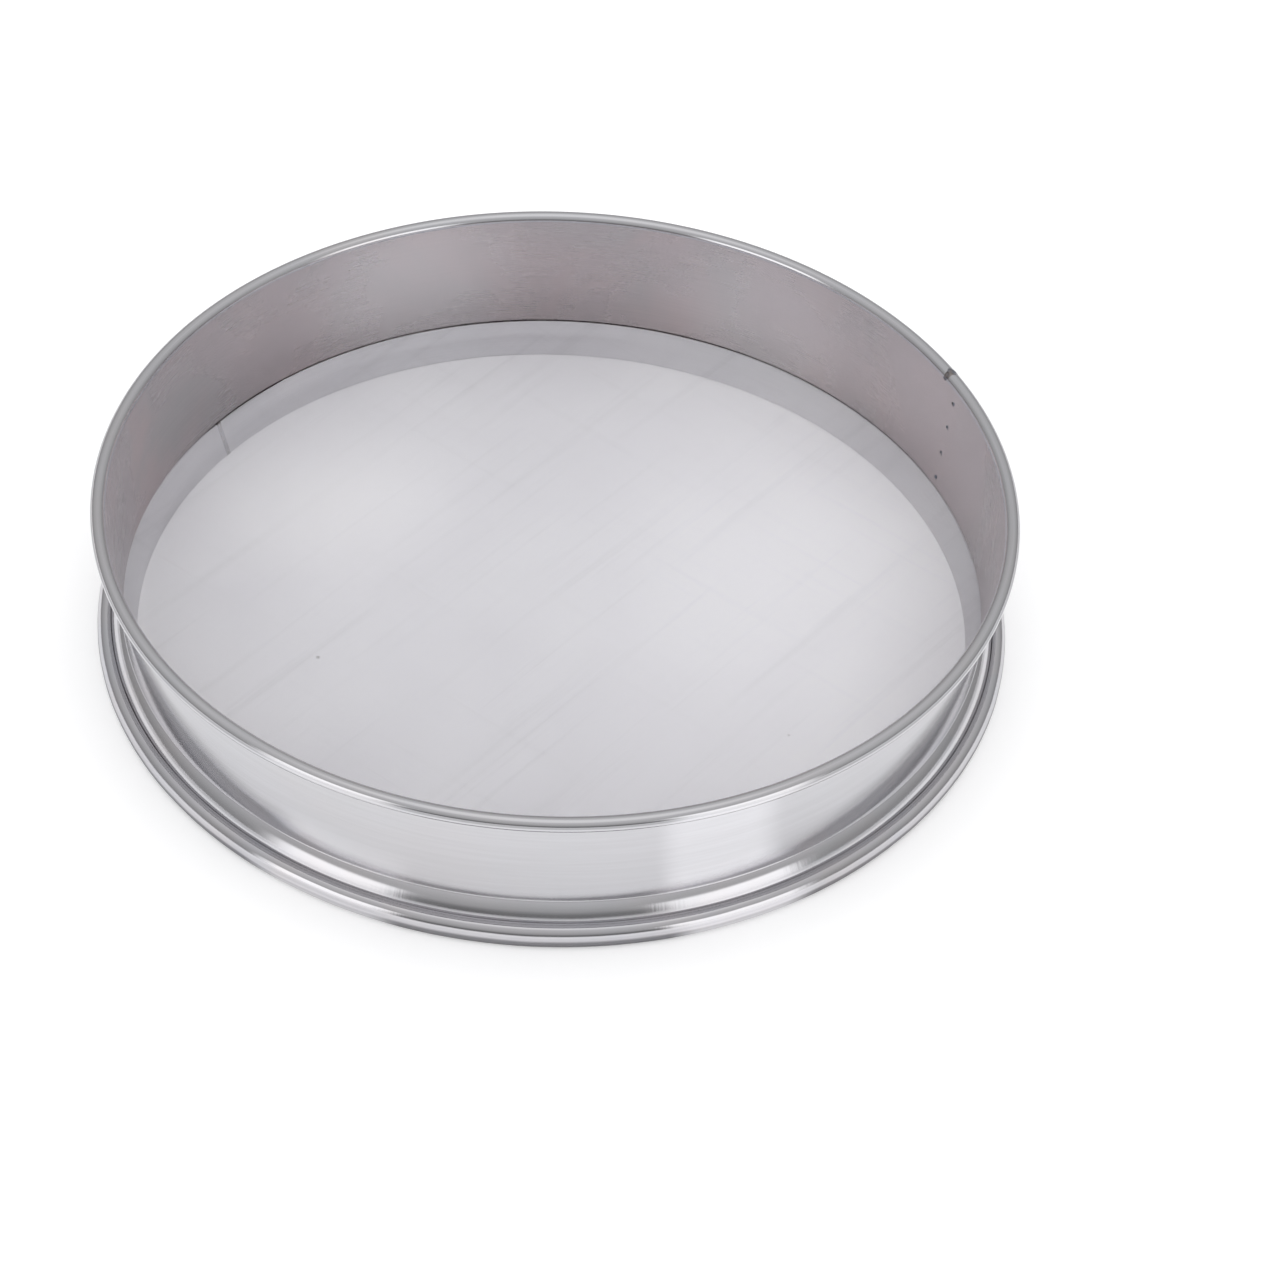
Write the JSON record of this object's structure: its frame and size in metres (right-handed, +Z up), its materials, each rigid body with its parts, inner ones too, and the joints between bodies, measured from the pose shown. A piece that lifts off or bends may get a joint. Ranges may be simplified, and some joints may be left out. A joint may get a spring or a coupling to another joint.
{
  "type": "sieve",
  "caption": "Round stainless steel flour sieve: a low hoop with a rolled rim, a fine woven wire screen and a rounded foot ring.",
  "frame": {"origin": "centre of the foot ring's sole, on the surface that the sieve stands on", "axes": "+Z up along the sieve's axis, +Y away from the picture's camera, +X to the picture's right; the rim's joint lies 27.5 degrees from +X towards +Y"},
  "size_m": [0.35, 0.35, 0.065],
  "materials": {
    "hoop_sheet": "mirror polished outside, brushed inside",
    "wire": "drawn wire",
    "cloth": "fine woven wire, satin",
    "ring_sheet": "satin",
    "foot_sheet": "polished, with fine crimping ripples",
    "weld": "weld metal, slightly dark"
  },
  "bodies": {
    "root": {"hoop": "hoop_sheet", "rim_wire": "wire", "mesh_screen": "cloth", "mesh_ring": "ring_sheet", "foot_ring": "foot_sheet", "rim_joint_weld": "weld", "ring_joint_weld": "weld", "lap_spot_weld_1": "weld", "lap_spot_weld_2": "weld", "lap_spot_weld_3": "weld", "lap_spot_weld_4": "weld"}
  },
  "joints": []
}
